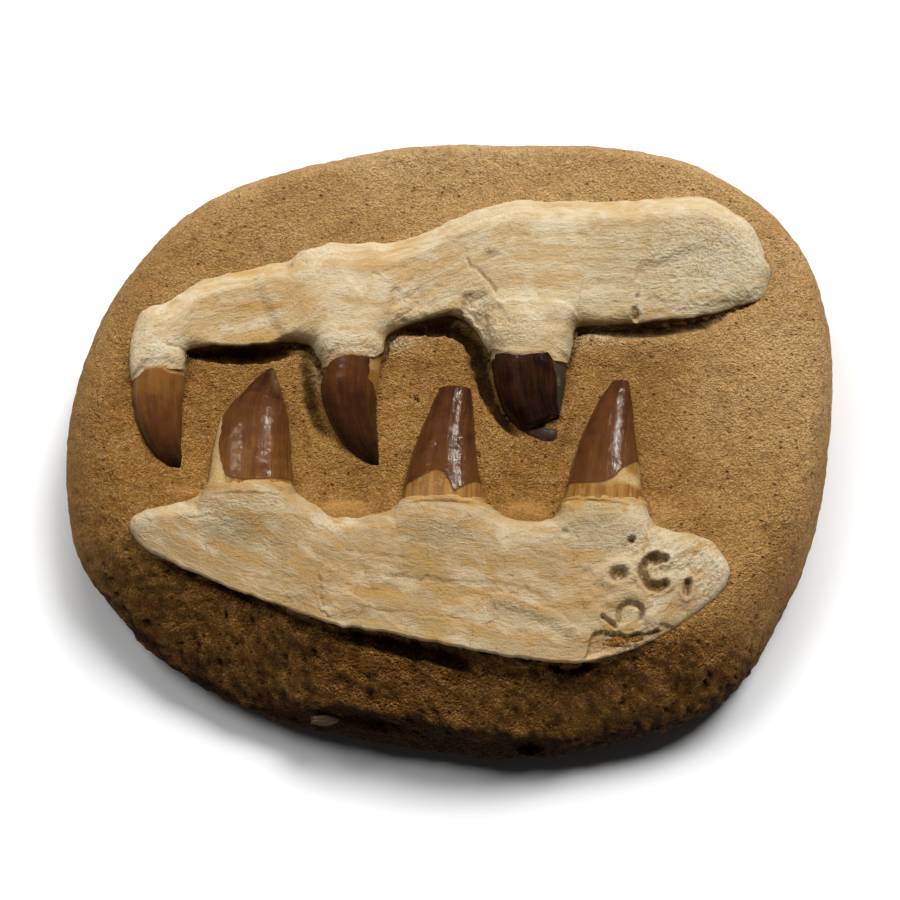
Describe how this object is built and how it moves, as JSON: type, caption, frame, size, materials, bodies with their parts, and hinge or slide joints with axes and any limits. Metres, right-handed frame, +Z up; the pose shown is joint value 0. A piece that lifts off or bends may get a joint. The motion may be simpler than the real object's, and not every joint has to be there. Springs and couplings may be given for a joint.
{
  "type": "fossil mosasaur jaw",
  "caption": "Fossil upper and lower mosasaur jaw bones with brown teeth, half sunk in a rounded block of sandy matrix that lies flat for display.",
  "frame": {"origin": "under the middle of the block's bounding box, on the plane it rests on", "axes": "+X along the jaws, from the front teeth to the broken back ends; +Y from the lower jaw to the upper jaw; +Z up, out of the prepared face"},
  "size_m": [0.2518, 0.2084, 0.0512],
  "materials": {
    "matrix": "matte, sandy",
    "bone": "matte",
    "enamel": "glossy"
  },
  "bodies": {
    "root": {"matrix_block": "matrix", "upper_jaw_bone": "bone", "lower_jaw_bone": "bone", "bone_chip": "bone", "upper_front_tooth": "enamel", "upper_middle_tooth": "enamel", "upper_back_tooth": "enamel", "lower_front_tooth": "enamel", "lower_middle_tooth": "enamel", "lower_back_tooth": "enamel", "upper_back_tooth_tip": "enamel"}
  },
  "joints": []
}
